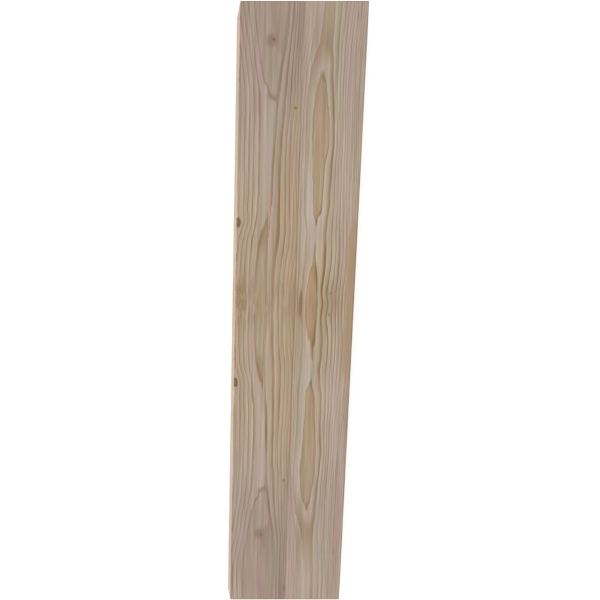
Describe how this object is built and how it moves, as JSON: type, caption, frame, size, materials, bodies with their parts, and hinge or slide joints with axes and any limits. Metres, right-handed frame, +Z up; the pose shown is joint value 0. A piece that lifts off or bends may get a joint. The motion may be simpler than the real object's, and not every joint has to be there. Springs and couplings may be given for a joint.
{
  "type": "timber plank",
  "caption": "Dressed softwood plank lying flat: a straight rectangular board with eased long edges and square-trimmed ends, for framing, shelving or decking.",
  "frame": {"origin": "centre of the underside, the broad face that the plank lies on", "axes": "+X along the plank's length, +Y across its width, +Z up through its thickness"},
  "size_m": [0.914, 0.184, 0.038],
  "materials": {
    "planed_softwood": "matte"
  },
  "bodies": {
    "root": {"plank": "planed_softwood"}
  },
  "joints": []
}
